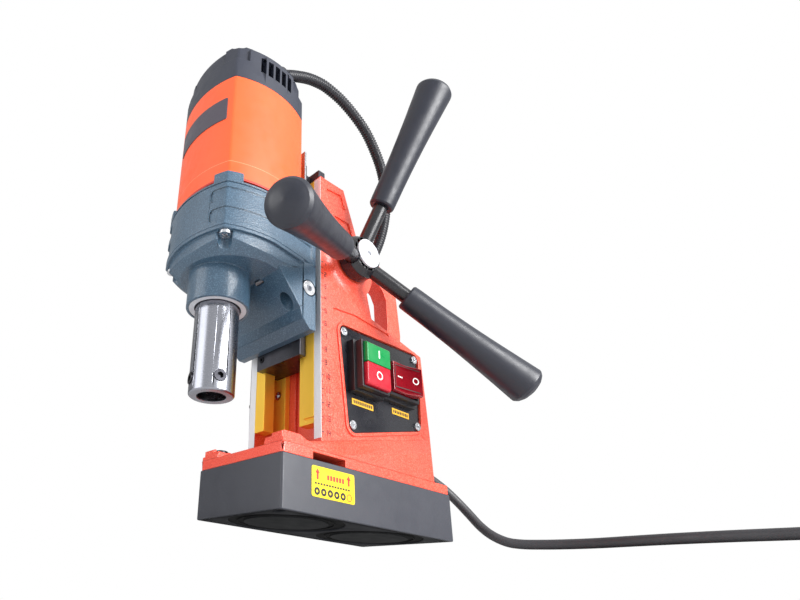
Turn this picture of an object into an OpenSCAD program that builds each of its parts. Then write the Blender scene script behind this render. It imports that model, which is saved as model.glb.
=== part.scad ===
/* [Magnet base] */
// Width of the magnet base, side to side
base_w = 84; // [80:1:90]
// Length of the magnet base, front to back
base_l = 165; // [163:1:175]
// Height of the magnet base
base_h = 33; // [31:1:36]
// Radius of one round magnet pole pocket
pole_r = 38; // [34:0.5:39]

/* [Column] */
// Half width of the cast column
col_hw = 37; // [36.5:0.1:38]
// Height of the column top above the work
col_top = 258; // [255:1:262]
// Half width of the guide channel
channel_hw = 30.2; // [30:0.1:31]
// Half width of the carry handle
handle_hw = 7; // [6:0.5:9]

/* [Head] */
// Distance of the spindle axis in front of the base centre
spindle_out = 106.5; // [106:0.1:108]
// Distance of the motor axis in front of the base centre
motor_out = 95; // [94.5:0.1:95.5]
// Outside radius of the arbor
arbor_r = 15; // [14.5:0.1:15.5]
// Bore radius of the arbor, for a 19.05 mm shank
arbor_bore_r = 9.525; // [9.525:0.005:9.6]
// Height of the arbor's lower end above the work, at rest
arbor_low = 70; // [68:1:74]
// Half width of the motor housing across the flats
motor_a = 41; // [40:0.1:41.4]

/* [Feed] */
// Module of the feed rack and pinion
feed_m = 1.5; // [1.5:0.1:1.6]
// Teeth on the feed pinion
feed_z = 13; // [13:1:13]
// Angle of the spokes out of the hub's plane
spoke_tilt = 24.8; // [20:0.1:28]
// Length of one hand grip
grip_l = 112; // [100:1:116]

/* [Cord] */
// Diameter of the power cord
cord_d = 7; // [6:0.5:8]
// Diameter of the corrugated motor hose
hose_d = 9; // [8:0.5:9.5]

/* [Hidden] */
$fn = 64;

// Paint and material colours.
casting_red = [0.86, 0.22, 0.16];
motor_orange = [0.96, 0.36, 0.16];
gear_blue = [0.30, 0.38, 0.45];
dark = [0.16, 0.17, 0.20];
steel = [0.62, 0.63, 0.65];
brass = [0.85, 0.62, 0.22];
black = [0.06, 0.06, 0.07];

// Levels above the work.
flange_top = base_h + 6.7;
channel_floor = flange_top + 4.6;
strap_h = 4.6;
strap_y = [-57, -28.5];
pole_y = 40.5;
bolt_front = [31.5, -73];
bolt_rear = [20, 77];
core_r = 27.4;

// Guide channel, slide and gibs, front to back.
col_front = -45.4;
channel_back = -24;
gib_low = 65.5;
gib_high = col_top - 1;
slide_low = 110;
slide_high = 277;
fit = 0.3;

// Feed hub axis.
feed_y = -16.2;
feed_z_pos = 190.6;
feed_pitch_r = feed_m * feed_z / 2;
rack_pitch_y = feed_y - feed_pitch_r;
hub_x = [41.7, 55.7];
hub_r = 16.8;
spoke_x = 45.5;
spoke_angles = [202, 80.2, -41.2];
spoke_r = 5.4;
grip_s = 45;

// Gearbox and motor levels.
spindle_y = -spindle_out;
motor_y = -motor_out;
gear_a = 44;
gear_back = 38.5;
neck_low = 132;
cover_low = 157;
lip_low = 169.8;
seam_z = 172.5;
roof_z = 199;
gear_top = 208.3;
motor_low = 212;
tab_top = 215.4;
cap_low = 305.6;
cap_step = 324;
cap_high = 338;
rear_wall = [-64, -51.6];

// Gear train, module 1: motor pinion, intermediate pair, spindle gear.
z_motor = 10;
z_mid_big = 31;
z_mid_small = 12;
z_spindle = 46;
d_motor = (z_motor + z_mid_big) / 2;
d_spindle = (z_mid_small + z_spindle) / 2;
axis_gap = spindle_out - motor_out;
mid_back = (pow(d_spindle, 2) - pow(d_motor, 2) - pow(axis_gap, 2)) / (2 * axis_gap);
mid_x = sqrt(pow(d_motor, 2) - pow(mid_back, 2));
mid_y = motor_y + mid_back;

// Control plate outline on the +X side, as Y and Z.
plate_pts = [[-27.6, 136.4], [-20.7, 59.5], [58.7, 75.9], [60.7, 138.5]];
plate_screw_pts = [[-23.4, 131.6], [-16.4, 64.6], [54.9, 79.6], [56.2, 134]];
switch_y = [-19.2, 11.2];
switch_z = [87.8, 126];
rocker_y = 31.3;
rocker_z = [96.2, 118.6];
rocker_pivot_x = 42;
rocker_tilt = -8;

// Power cord, gland to coil, then coil to plug.
gland_at = [12, 54];
cord_route = [
    [12, 92, 54], [12.2, 98, 53.6], [13.4, 106, 51], [17, 117, 44.2], [22, 124.5, 35.6],
    [28, 129, 26.4], [34.5, 131.2, 17.6], [42, 133.2, 10.6], [51, 136.8, 5.6], [60, 141, 3.9],
    [72, 146, 3.6], [88, 150.5, 3.6], [108, 152, 3.6], [130, 150, 3.6], [155, 148, 3.6],
    [182, 148, 3.6], [209, 150, 3.6], [237, 151.5, 3.6], [263, 152, 3.6], [286, 150, 3.6]
];
plug_route = [
    [342.4, 97.4, 10.5], [342.5, 90, 9.8], [342.4, 82, 8.1], [342.1, 74, 6.3], [341.7, 66, 5.7],
    [341.2, 58, 6.4], [340.7, 50, 8.4], [340.3, 42, 11], [340.1, 34, 13.1], [340, 26.1, 14]
];
coil_at = [292, 100, 0];
coil_mean_r = 40;
coil_h = 2 * cord_d;
plug_at = [340, 26, 14];
hose_route = [
    [33, -84, 338], [33.8, -77.5, 342.7], [35, -68, 347.8], [36.2, -58, 352], [37.3, -48.5, 354],
    [38.5, -39, 353.8], [40, -23, 349.6], [41, -7, 341.2], [42, 5, 330.5], [42, 15, 317.5],
    [41.7, 23, 303], [40.5, 28.5, 288], [38.5, 31.5, 273], [35.5, 32.5, 258], [32, 32, 244],
    [28, 29.5, 230], [24.7, 24, 217], [23, 16, 208], [22, 8, 202.5]
];
hose_tilt = [54, 83];

// ---------- Shape helpers ----------

// Outline points of a rounded rectangle centred on the origin.
function rrect_pts(w, l, r, n = 6) = [
    for (k = [0:3], i = [0:n])
        let (a = 90 * k + 90 * i / n,
             sx = (k == 0 || k == 3) ? 1 : -1,
             sy = (k < 2) ? 1 : -1)
        [sx * (w / 2 - r) + r * cos(a), sy * (l / 2 - r) + r * sin(a)]
];

// A square with bowed sides and soft corners; a is its half width, rc its corner radius.
bow_c = 34;
function arc_pts(c, r, a0, a1, from, to, n) = [
    for (i = [from:to]) let (t = a0 + (a1 - a0) * i / n) c + r * [cos(t), sin(t)]
];
// Its front half, from the left side round to the right side.
function front_pts(a, rc) =
    let (big = a + bow_c, k = (sqrt(2 * pow(big - rc, 2) - bow_c * bow_c) - bow_c) / 2,
         f = atan2(k, k + bow_c))
    concat(
        arc_pts([bow_c, 0], big, 180, 180 + f, 0, 6, 6),
        arc_pts([-k, -k], rc, 180 + f, 270 - f, 1, 4, 5),
        arc_pts([0, bow_c], big, 270 - f, 270 + f, 0, 12, 12),
        arc_pts([k, -k], rc, 270 + f, 360 - f, 1, 4, 5),
        arc_pts([-bow_c, 0], big, 360 - f, 360, 0, 6, 6)
    );
function squircle_pts(a, rc) = let (h = front_pts(a, rc), last = len(h) - 2)
    concat([for (i = [0:last]) h[i]], [for (i = [0:last]) -h[i]]);

module rrect(w, l, r) { polygon(rrect_pts(w, l, r)); }
module squircle(a, rc = 4) { polygon(squircle_pts(a, rc)); }

// A squircle column between two heights, centred at Y = y.
module sq_post(a, y, z0, z1) {
    translate([0, y, z0]) linear_extrude(z1 - z0) squircle(a);
}

// The gearbox's plan, inset by g: a bowed front and sides running back to Y = back.
module gear_plan(g, z0, z1, back = rear_wall[1]) {
    translate([0, 0, z0]) linear_extrude(z1 - z0) polygon(concat(
        [for (q = front_pts(gear_a - g, 2.4)) q + [0, motor_y]],
        [[gear_back - g, back], [g - gear_back, back]]
    ));
}

// Extrudes an outline drawn as (Y, Z) along X, from x0 to x1.
module along_x(x0, x1) {
    translate([x0, 0, 0]) rotate([90, 0, 90]) linear_extrude(x1 - x0) children();
}

// A box given by its low and high corners.
module box(lo, hi) { translate(lo) cube(hi - lo); }

// A round bar between two heights at a plan position.
module bar(xy, z0, z1, r) { translate([xy[0], xy[1], z0]) cylinder(r = r, h = z1 - z0); }

// A round bar along X.
module bar_x(yz, x0, x1, r) {
    translate([x0, yz[0], yz[1]]) rotate([0, 90, 0]) cylinder(r = r, h = x1 - x0);
}

// A round bar along Y.
module bar_y(xz, y0, y1, r) {
    translate([xz[0], y0, xz[1]]) rotate([-90, 0, 0]) cylinder(r = r, h = y1 - y0);
}

// A flat tube.
module ring(xy, z0, z1, r_in, r_out) {
    translate([xy[0], xy[1], z0]) linear_extrude(z1 - z0) difference() {
        circle(r_out);
        circle(r_in);
    }
}

// A band of width w along a 2-D path, with mitred bends and square ends.
function left_of(d) = [-d[1], d[0]] / norm(d);
function mitre(p, i) = let (
    a = left_of(p[max(i, 1)] - p[max(i, 1) - 1]),
    b = left_of(p[min(i, len(p) - 2) + 1] - p[min(i, len(p) - 2)])
) 2 * (a + b) / ((a + b) * (a + b));
module stroke(p, w) {
    polygon([
        for (i = [0:len(p) - 1]) p[i] + mitre(p, i) * w / 2,
        for (i = [len(p) - 1:-1:0]) p[i] - mitre(p, i) * w / 2
    ]);
}

// A quadrilateral with its corners moved inwards by g towards its middle.
function centre_of(pts) = [for (k = [0:1]) (pts[0][k] + pts[1][k] + pts[2][k] + pts[3][k]) / 4];
function inset(pts, g) = let (c = centre_of(pts)) [
    for (p = pts) [p[0] - g * sign(p[0] - c[0]), p[1] - g * sign(p[1] - c[1])]
];

// The inset quadrilateral with round corners of radius r.
module soft_quad(pts, r) {
    q = inset(pts, r);
    hull() for (p = q) translate(p) circle(r, $fn = 32);
}

// Involute tooth outline: stub teeth, 25 degree pressure angle.
gear_pa = 25;
function inv_deg(a) = tan(a) * 180 / PI - a;
function polar(r, a) = [r * cos(a), r * sin(a)];
function tooth_half(m, z, r, slack) =
    let (rp = m * z / 2)
    90 / z - slack / (2 * rp) * 180 / PI + inv_deg(gear_pa) - inv_deg(acos(min(1, rp * cos(gear_pa) / r)));
function gear_pts(m, z, slack) =
    let (rp = m * z / 2, ra = rp + 0.8 * m, rr = rp - m, r0 = max(rp * cos(gear_pa), rr))
    [for (i = [0:z - 1])
        let (c = 360 * i / z)
        each concat(
            [polar(rr, c - tooth_half(m, z, r0, slack))],
            [for (k = [0:3]) let (r = r0 + (ra - r0) * k / 3) polar(r, c - tooth_half(m, z, r, slack))],
            [for (k = [0:3]) let (r = ra - (ra - r0) * k / 3) polar(r, c + tooth_half(m, z, r, slack))],
            [polar(rr, c + tooth_half(m, z, r0, slack))]
        )
    ];
module gear(m, z, h, slack = 0.16) { linear_extrude(h) polygon(gear_pts(m, z, slack)); }

// A round tube swept along a list of points.
function unit(v) = v / norm(v);
function tangent(p, i) = unit(p[min(i + 1, len(p) - 1)] - p[max(i - 1, 0)]);
function side_of(t) = unit(cross(t, abs(t[2]) > 0.9 ? [0, 1, 0] : [0, 0, 1]));
function sweep_ring(c, t, r, n, s) =
    let (u = s, v = cross(t, u))
    [for (k = [0:n - 1]) c + r * (cos(360 * k / n) * u + sin(360 * k / n) * v)];
// Each ring's side vector is carried along from the one before, so the tube doesn't twist.
function carried(p, i = 0, s = undef) =
    let (t = tangent(p, i),
         raw = is_undef(s) ? side_of(t) : s - (s * t) * t,
         u = unit(raw))
    i == len(p) - 1 ? [u] : concat([u], carried(p, i + 1, u));
// Points along a smooth curve through the route's own points.
function curve_at(a, b, c, d, t) =
    0.5 * (2 * b + (c - a) * t + (2 * a - 5 * b + 4 * c - d) * t * t + (3 * b - a - 3 * c + d) * t * t * t);
function smooth(p, n) = [
    for (i = [0:len(p) - 2], k = [0:n - 1])
        curve_at(p[max(i - 1, 0)], p[i], p[i + 1], p[min(i + 2, len(p) - 1)], k / n),
    p[len(p) - 1]
];
module tube(route, d, n = 10, steps = 1) {
    p = smooth(route, steps);
    sides = carried(p);
    rings = [for (i = [0:len(p) - 1]) sweep_ring(p[i], tangent(p, i), d / 2, n, sides[i])];
    m = len(p);
    polyhedron(
        points = [for (r = rings) each r],
        faces = concat(
            [[for (k = [0:n - 1]) k]],
            [[for (k = [n - 1:-1:0]) (m - 1) * n + k]],
            [for (i = [0:m - 2], k = [0:n - 1])
                [i * n + k, (i + 1) * n + k, (i + 1) * n + (k + 1) % n, i * n + (k + 1) % n]]
        )
    );
}

// Places its children at both sides, left and right.
module both_sides() {
    children();
    mirror([1, 0, 0]) children();
}

// A socket-head screw along -Z, its head's top at the origin.
module socket_screw(head_r, head_h, shank_r, length, hex = 1.6) {
    difference() {
        translate([0, 0, -head_h]) cylinder(r = head_r, h = head_h);
        translate([0, 0, -head_h * 0.6]) cylinder(r = hex, h = head_h, $fn = 6);
    }
    translate([0, 0, -head_h - length]) cylinder(r = shank_r, h = length + 0.01);
}

// A cross-recess pan screw along -Z, its head's top at the origin.
module cross_screw(head_r, head_h, shank_r, length) {
    difference() {
        translate([0, 0, -head_h]) cylinder(r = head_r, h = head_h);
        for (a = [0, 90]) rotate(a) translate([-head_r * 0.6, -0.4, -head_h * 0.5])
            cube([head_r * 1.2, 0.8, head_h]);
    }
    translate([0, 0, -head_h - length]) cylinder(r = shank_r, h = length + 0.01);
}

// ---------- Magnet base ----------

module magnet_housing() {
    color(dark) difference() {
        linear_extrude(base_h) rrect(base_w, base_l, 1.5);
        for (s = [-1, 1]) bar([0, s * pole_y], -1, 27, pole_r);
        for (x = [-1, 1]) {
            bar([x * bolt_front[0], bolt_front[1]], 18, base_h + 1, 3);
            bar([x * bolt_rear[0], bolt_rear[1]], 18, base_h + 1, 3);
        }
        translate([34, -77, -1]) linear_extrude(3) rrect(9, 4, 1.9);
    }
}

module magnet_cores() {
    color(steel) for (s = [-1, 1]) {
        bar([0, s * pole_y], 0, 26, core_r);
        bar([0, s * pole_y], 24, 27, pole_r - 0.2);
    }
}

module magnet_coils() {
    color("peru") for (s = [-1, 1]) ring([0, s * pole_y], 4.5, 23.8, core_r + 0.3, pole_r - 1.2);
}

module magnet_potting() {
    color(black) for (s = [-1, 1]) {
        ring([0, s * pole_y], 0.8, 4.3, core_r, pole_r);
        ring([0, s * pole_y], 0.2, 0.81, 31, 32);
    }
}

module magnet_bolts() {
    color(steel) for (x = [-1, 1]) {
        translate([x * bolt_front[0], bolt_front[1], 46.6]) socket_screw(4.6, 5.4, 3, 20, 2.5);
        translate([x * bolt_rear[0], bolt_rear[1], flange_top + 5.4]) socket_screw(4.6, 5.4, 3, 20, 2.5);
    }
}

// ---------- Column ----------

// Side outline of the column and the control box behind it.
column_outline = [
    [col_front, flange_top - 1], [72.1, flange_top - 1], [70.9, 74.9], [66.6, 139.9],
    [8.5, 153.3], [-6.5, 222], [-19.3, col_top], [col_front, col_top]
];
handle_outer = [
    [-16, 252], [0, 252], [38, 243.3], [58, 235.8], [73, 231.3], [78, 225.3], [81, 206.3], [83.4, 174.3],
    [80.5, 150], [66, 139], [50, 139], [0, 150], [-12, 200]
];
handle_hole = [
    [4, 214], [12, 220], [54, 217.3], [62, 212.3], [66.4, 204.3], [66.6, 180.3], [65, 169.3], [54, 163.3],
    [22, 165], [14, 168]
];

// Sloped shoulders of the plinth: they narrow from the flange to the column's width.
plinth_pitch = 12.3;
module plinth() {
    intersection() {
        translate([0, -71.3, 41.9]) rotate([plinth_pitch, 0, 0]) translate([0, -60, 0]) rotate([-90, 0, 0])
            linear_extrude(260) polygon([
                [-col_hw, 0], [col_hw, 0], [41.2, 10.3], [41.2, 90], [-41.2, 90], [-41.2, 10.3]
            ]);
        box([-45, -76, flange_top - 1], [45, 64.5, 90]);
    }
}

module flange() {
    translate([0, 0, base_h]) linear_extrude(flange_top - base_h) rrect(base_w - 1, base_l - 1, 2);
}

// Arms of the foot, either side of the channel, with pads under them.
foot_arm = [
    [-81, flange_top - 1], [-81, 46], [-79, 47], [-66, 47], [-60, 44.5], [-54, 43.8], [-45, 45.5],
    [-45, flange_top - 1]
];
module foot_arms() {
    both_sides() {
        along_x(24, 39.5) polygon(foot_arm);
        box([23.5, -81.5, flange_top - 1], [41, -45, 42.2]);
    }
}

module hub_boss() {
    translate([0, feed_y, feed_z_pos]) rotate([0, 90, 0]) rotate_extrude() polygon(concat(
        [[0, col_hw - 1], [27, col_hw - 1], [27, col_hw]],
        [for (a = [0:15:90]) [27 - 9 * sin(a), col_hw + 4 * (1 - cos(a))]],
        [[0, col_hw + 4]]
    ));
}

module panel_rim() {
    along_x(col_hw - 1, col_hw + 1.4) soft_quad(inset(plate_pts, -2.6), 8);
}

module column_casting() {
    color(casting_red) difference() {
        union() {
            flange();
            plinth();
            along_x(-col_hw, col_hw) polygon(column_outline);
            along_x(-handle_hw, handle_hw) polygon(handle_outer);
            foot_arms();
            hub_boss();
            panel_rim();
        }
        // handle opening
        along_x(-handle_hw - 1, handle_hw + 1) polygon(handle_hole);
        // strap slot under the flange
        box([-50, strap_y[0], base_h - 1], [50, strap_y[1], base_h + strap_h]);
        // guide channel with the rack's relief
        box([-channel_hw, -90, channel_floor], [channel_hw, channel_back, col_top + 1]);
        box([-10, -30, channel_floor], [10, channel_back + 2, col_top + 1]);
        // space in front of the channel, between the plinth's arms
        box([-24, -90, flange_top], [24, col_front, 90]);
        // pinion chamber, bush seat and journal
        bar_x([feed_y, feed_z_pos], -14, 14, 12.2);
        bar_x([feed_y, feed_z_pos], 13, 45, 11);
        bar_x([feed_y, feed_z_pos], -20.5, -13, 6.04);
        // control box behind the plate
        along_x(col_hw - 2.4, col_hw + 5) soft_quad(inset(plate_pts, -0.25), 5.6);
        along_x(-31, col_hw) polygon([[-18.2, 126], [-18.2, 70], [53, 82], [55, 131]]);
        for (p = plate_screw_pts) bar_x(p, 28.6, 36, 1.6);
        // cord and hose entries
        bar_y(gland_at, 66, 74, 4.6);
        translate([22, 0, 198]) rotate([-77.7, 0, 0]) translate([0, 0, -12]) cylinder(r = 4.6, h = 20);
        // bolts
        for (x = [-1, 1]) {
            bar([x * bolt_front[0], bolt_front[1]], base_h - 1, 50, 3.2);
            bar([x * bolt_front[0], bolt_front[1]], 41.2, 50, 5);
            bar([x * bolt_rear[0], bolt_rear[1]], base_h - 1, 50, 3.2);
        }
        // gib screws through the left wall, clamp screws into the back wall
        for (z = gib_screw_z) bar_x([-42.6, z], -40, -channel_hw + 1, 2.5);
        for (x = [-1, 1], z = clamp_z) bar_y([x * 24.6, z], -25, -21.5, 1.5);
        // sunk chevrons and line on both sides
        both_sides() along_x(col_hw - 1.2, col_hw + 2) {
            stroke([[-38, 248], [-23.5, 249.5], [-19.5, 239]], 3.6);
            stroke([[-30, 226.8], [-15.5, 226.8], [-11.8, 217.5]], 3.6);
            stroke([[-33, 146.6], [-9, 148.8], [28, 145.8]], 2);
        }
    }
}

gib_screw_z = [88, 138, 188, 238];
clamp_z = [97.5, 150, 222];

module front_gibs() {
    color(brass) {
        box([20.2, col_front - 0.1, gib_low], [channel_hw, -43.9, gib_high]);
        box([15.2, -44, gib_low - 4], [channel_hw, -36, gib_high]);
        box([-channel_hw, col_front - 0.1, gib_low], [-20.2, -36, gib_high]);
    }
}

module rear_gibs() {
    color(brass) difference() {
        both_sides() box([16.5, -28.5, 48], [channel_hw, channel_back, gib_high]);
        bar_x([feed_y, feed_z_pos], 9, 40, 12.6);
        for (x = [-1, 1], z = clamp_z) {
            bar_y([x * 24.6, z], -29, -23, 1.6);
            bar_y([x * 24.6, z], -29, -26.4, 3.3);
        }
    }
}

module gib_screws() {
    color(steel) for (z = gib_screw_z) bar_x([-42.6, z], -col_hw - 1.2, -channel_hw, 2.5);
}

module gib_clamp_screws() {
    color(steel) for (x = [-1, 1], z = clamp_z) difference() {
        union() {
            bar_y([x * 24.6, z], -28.6, -26.4, 3.2);
            bar_y([x * 24.6, z], -26.5, -21.6, 1.5);
        }
        translate([x * 24.6, -30, z]) rotate([-90, 0, 0]) cylinder(r = 1.6, h = 2.9, $fn = 6);
    }
}

module shaft_bush() {
    color(brass) difference() {
        bar_x([feed_y, feed_z_pos], 14, 40.6, 11);
        bar_x([feed_y, feed_z_pos], 13, 42, 8.04);
    }
}

// ---------- Control panel ----------

module control_plate() {
    color(black) difference() {
        along_x(col_hw - 2.4, col_hw - 0.2) soft_quad(plate_pts, 5.6);
        box([30, -17.9, 88.6], [40, 9.4, 124.4]);
        box([30, 14.6, 92.6], [40, 46.4, 120.4]);
        for (p = plate_screw_pts) bar_x(p, 30, 40, 1.7);
    }
}

module plate_screws() {
    color(steel) for (p = plate_screw_pts)
        translate([col_hw + 1.4, p[0], p[1]]) rotate([0, 90, 0]) cross_screw(3.1, 1.6, 1.55, 6.4);
}

module drill_switch_body() {
    face = col_hw - 0.2;
    color(black) difference() {
        union() {
            box([14, -17.5, 89], [face + 0.1, 9, 124]);
            box([face, switch_y[0], switch_z[0]], [face + 6, switch_y[1], switch_z[1]]);
            box([face + 5.9, switch_y[0] + 1.6, switch_z[0] + 1.6],
                [face + 11.8, switch_y[1] - 0.6, switch_z[1] - 1.4]);
        }
        box([40, -15.9, 91], [60, 9.1, 123.2]);
    }
}

module on_button() {
    color("seagreen") difference() {
        box([43.6, -15.6, 107.9], [51.9, 8.8, 122.9]);
        translate([51.9, 0, 122.9]) rotate([0, 45, 0]) cube([2, 80, 2], center = true);
    }
}

module off_button() {
    color("firebrick") difference() {
        box([43.6, -15.6, 91.3], [51.6, 8.8, 107.6]);
        translate([53.6, 0, 90.3]) rotate([0, 35, 0]) cube([6, 80, 4], center = true);
    }
}

module magnet_switch_body() {
    face = col_hw - 0.2;
    color(black) difference() {
        union() {
            box([16, 15, 93], [face + 0.1, 46, 120]);
            box([face, 12.4, 91], [face + 3.8, 49.6, 122.6]);
            box([face + 3.7, 14.2, 93.4], [face + 8.6, 48.4, 121.2]);
        }
        box([39.5, rocker_y - 15.6, rocker_z[0] - 0.3], [60, rocker_y + 15.6, rocker_z[1] + 0.3]);
        translate([rocker_pivot_x, rocker_y, rocker_z[0] - 1.7]) cylinder(r = 1.85, h = 26);
    }
}

module magnet_rocker() {
    color("darkred") translate([rocker_pivot_x, rocker_y, rocker_z[0]]) rotate([0, 0, rocker_tilt]) {
        linear_extrude(rocker_z[1] - rocker_z[0]) polygon([
            [-1, -5], [4, -14.2], [8.5, -14.2], [6.4, 0], [8.5, 14.2], [4, 14.2], [-1, 5]
        ]);
        translate([0, 0, -1.4]) cylinder(r = 1.7, h = rocker_z[1] - rocker_z[0] + 2.8);
    }
}

module control_board() {
    color("darkgreen") difference() {
        union() {
            box([-24, 18, 84], [-22.4, 50, 126]);
            box([-22.5, 22, 90], [-8, 34, 104]);
            box([-22.5, 38, 92], [-14, 46, 112]);
            bar_x([28, 116], -22.5, -10, 5);
        }
        for (y = [21, 47]) bar_x([y, 87], -30, -20, 1.6);
        for (y = [21, 47]) bar_x([y, 123], -30, -20, 1.6);
    }
    color("darkgreen") for (y = [21, 47], z = [87, 123]) difference() {
        bar_x([y, z], -31, -24, 3);
        bar_x([y, z], -32, -20, 1.6);
    }
}

module board_screws() {
    color(steel) for (y = [21, 47], z = [87, 123])
        translate([-20.8, y, z]) rotate([0, 90, 0]) cross_screw(2.8, 1.6, 1.55, 8);
}

module base_label() {
    color("gold") along_x(base_w / 2, base_w / 2 + 0.3) translate([-40.3, 19.9]) rrect(37.5, 18.6, 1.5);
}

module switch_labels() {
    face = col_hw - 0.2;
    color("gold") {
        box([face, -15.8, 79.9], [face + 0.3, 6, 84.2]);
        box([face, 27, 83.4], [face + 0.3, 46.2, 87.8]);
    }
}

// ---------- Cord and hose ----------

module cord_gland() {
    color(black) {
        difference() {
            bar_y(gland_at, 68, 72.2, 4.6);
            bar_y(gland_at, 60, 73, 3.4);
        }
        translate([gland_at[0], 72.1, gland_at[1]]) rotate([-90, 0, 0]) rotate_extrude() polygon([
            [3.5, 0], [7, 0], [7, 3], [5.6, 4], [4.6, 19.9], [3.5, 19.9]
        ]);
        bar_y(gland_at, 73, 92, 3.5);
    }
}

module power_cord() {
    color(black) {
        tube(cord_route, cord_d, 10, 3);
        tube(plug_route, cord_d, 10, 2);
    }
}

module cord_coil() {
    color(black) translate(coil_at) rotate_extrude() translate([coil_mean_r - cord_d, 0])
        square([2 * cord_d, coil_h]);
}

module plug() {
    color(black) {
        difference() {
            translate(plug_at) rotate([90, 0, 0]) linear_extrude(34) polygon(rrect_pts(28, 27, 6));
            translate(plug_at + [0, -34, 0]) rotate([90, 0, 0]) cylinder(r = 2, h = 4, center = true);
        }
        translate(plug_at + [0, -0.1, 0]) rotate([-90, 0, 0]) cylinder(r1 = 6.5, r2 = 4.2, h = 0.1);
    }
    color(brass) for (x = [-6.35, 6.35])
        translate(plug_at + [x - 0.8, -51, -3.2]) cube([1.6, 17.1, 6.4]);
    color(brass) translate(plug_at + [0, -36, 7.5]) rotate([90, 0, 0]) cylinder(r = 2.4, h = 17);
}

module hose() { color(black) tube(hose_route, hose_d, 10, 3); }

module hose_lower_gland() {
    color(black) translate([22, 0, 198]) rotate([-77.7, 0, 0]) {
        translate([0, 0, -6]) ring([0, 0], 0, 7, 3.4, 4.6);
        translate([0, 0, 0.1]) cylinder(r = 7.4, h = 3.6, $fn = 6);
        translate([0, 0, 3.6]) cylinder(r = 6, h = 3);
    }
}

// Places its children at the hose's upper end, with +Z along the hose.
module at_hose_top() {
    translate(hose_route[0]) rotate([0, hose_tilt[0], hose_tilt[1]]) children();
}

module hose_upper_gland() {
    color(black) at_hose_top() {
        translate([0, 0, -5.5]) cylinder(r = 4, h = 1.6);
        translate([0, 0, -4]) cylinder(r = 7, h = 4);
    }
}

// ---------- Slide and rack ----------

module slide() {
    color(dark) difference() {
        union() {
            box([-22.9, -51.5, slide_low], [22.9, col_front - 0.5, slide_high]);
            box([-19.9, col_front - 0.6, slide_low], [14.9, -35.6, slide_high]);
            box([-25.8, -35.7, slide_low], [25.8, -28.8, slide_high]);
        }
        for (z = rack_screw_z) {
            bar_y([0, z], -36, -28, 2);
        }
        bar_y([-17.5, 118], -52, -46, 2.4);
    }
}

rack_screw_z = [128, 170, 212, 254];
rack_pitch = PI * feed_m;
rack_n = 30;
rack_low = feed_z_pos - 15.5 * rack_pitch;

module rack() {
    back = -28.8;
    root = rack_pitch_y - feed_m;
    tip = rack_pitch_y + 0.8 * feed_m;
    thick = rack_pitch / 4 - 0.06;
    top_half = thick - 0.8 * feed_m * tan(gear_pa);
    root_half = thick + feed_m * tan(gear_pa);
    color(steel) difference() {
        along_x(-8, 8) polygon(concat(
            [[back, rack_low], [root, rack_low]],
            [for (i = [0:rack_n - 1]) let (z = rack_low + (i + 1) * rack_pitch)
                each [[root, z - root_half], [tip, z - top_half], [tip, z + top_half], [root, z + root_half]]],
            [[root, rack_low + (rack_n + 1) * rack_pitch], [back, rack_low + (rack_n + 1) * rack_pitch]]
        ));
        for (z = rack_screw_z) bar_y([0, z], -30, -20, 2);
    }
}

module rack_screws() {
    color(steel) for (z = rack_screw_z) bar_y([0, z], -35.9, -27.6, 2);
}

module slide_set_screw() {
    color(black) difference() {
        bar_y([-17.5, 118], -51.9, -46, 2.4);
        translate([-17.5, -53, 118]) rotate([-90, 0, 0]) cylinder(r = 1.3, h = 3, $fn = 6);
    }
}

module back_plate() {
    color(steel) box([-28, -53.3, gear_top + 0.2], [28, -51.6, 284]);
}

// ---------- Gearbox ----------

gear_screw_at = [[31.3, -126.3], [30, -71]];
screw_z = 167.2;
band_z = [176.2, 191.8];
side_screw_at = [-57.8, 153];

module corner_mask(size) {
    for (sx = [-1, 1], sy = [-1, 1])
        translate([sx * 33, motor_y + sy * 33]) rotate(45) square(size, center = true);
}

// Bars at the four gearbox screws.
module at_gear_screws(k, z0, z1, r) {
    for (sx = [-1, 1]) bar([sx * gear_screw_at[k][0], gear_screw_at[k][1]], z0, z1, r);
}

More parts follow.
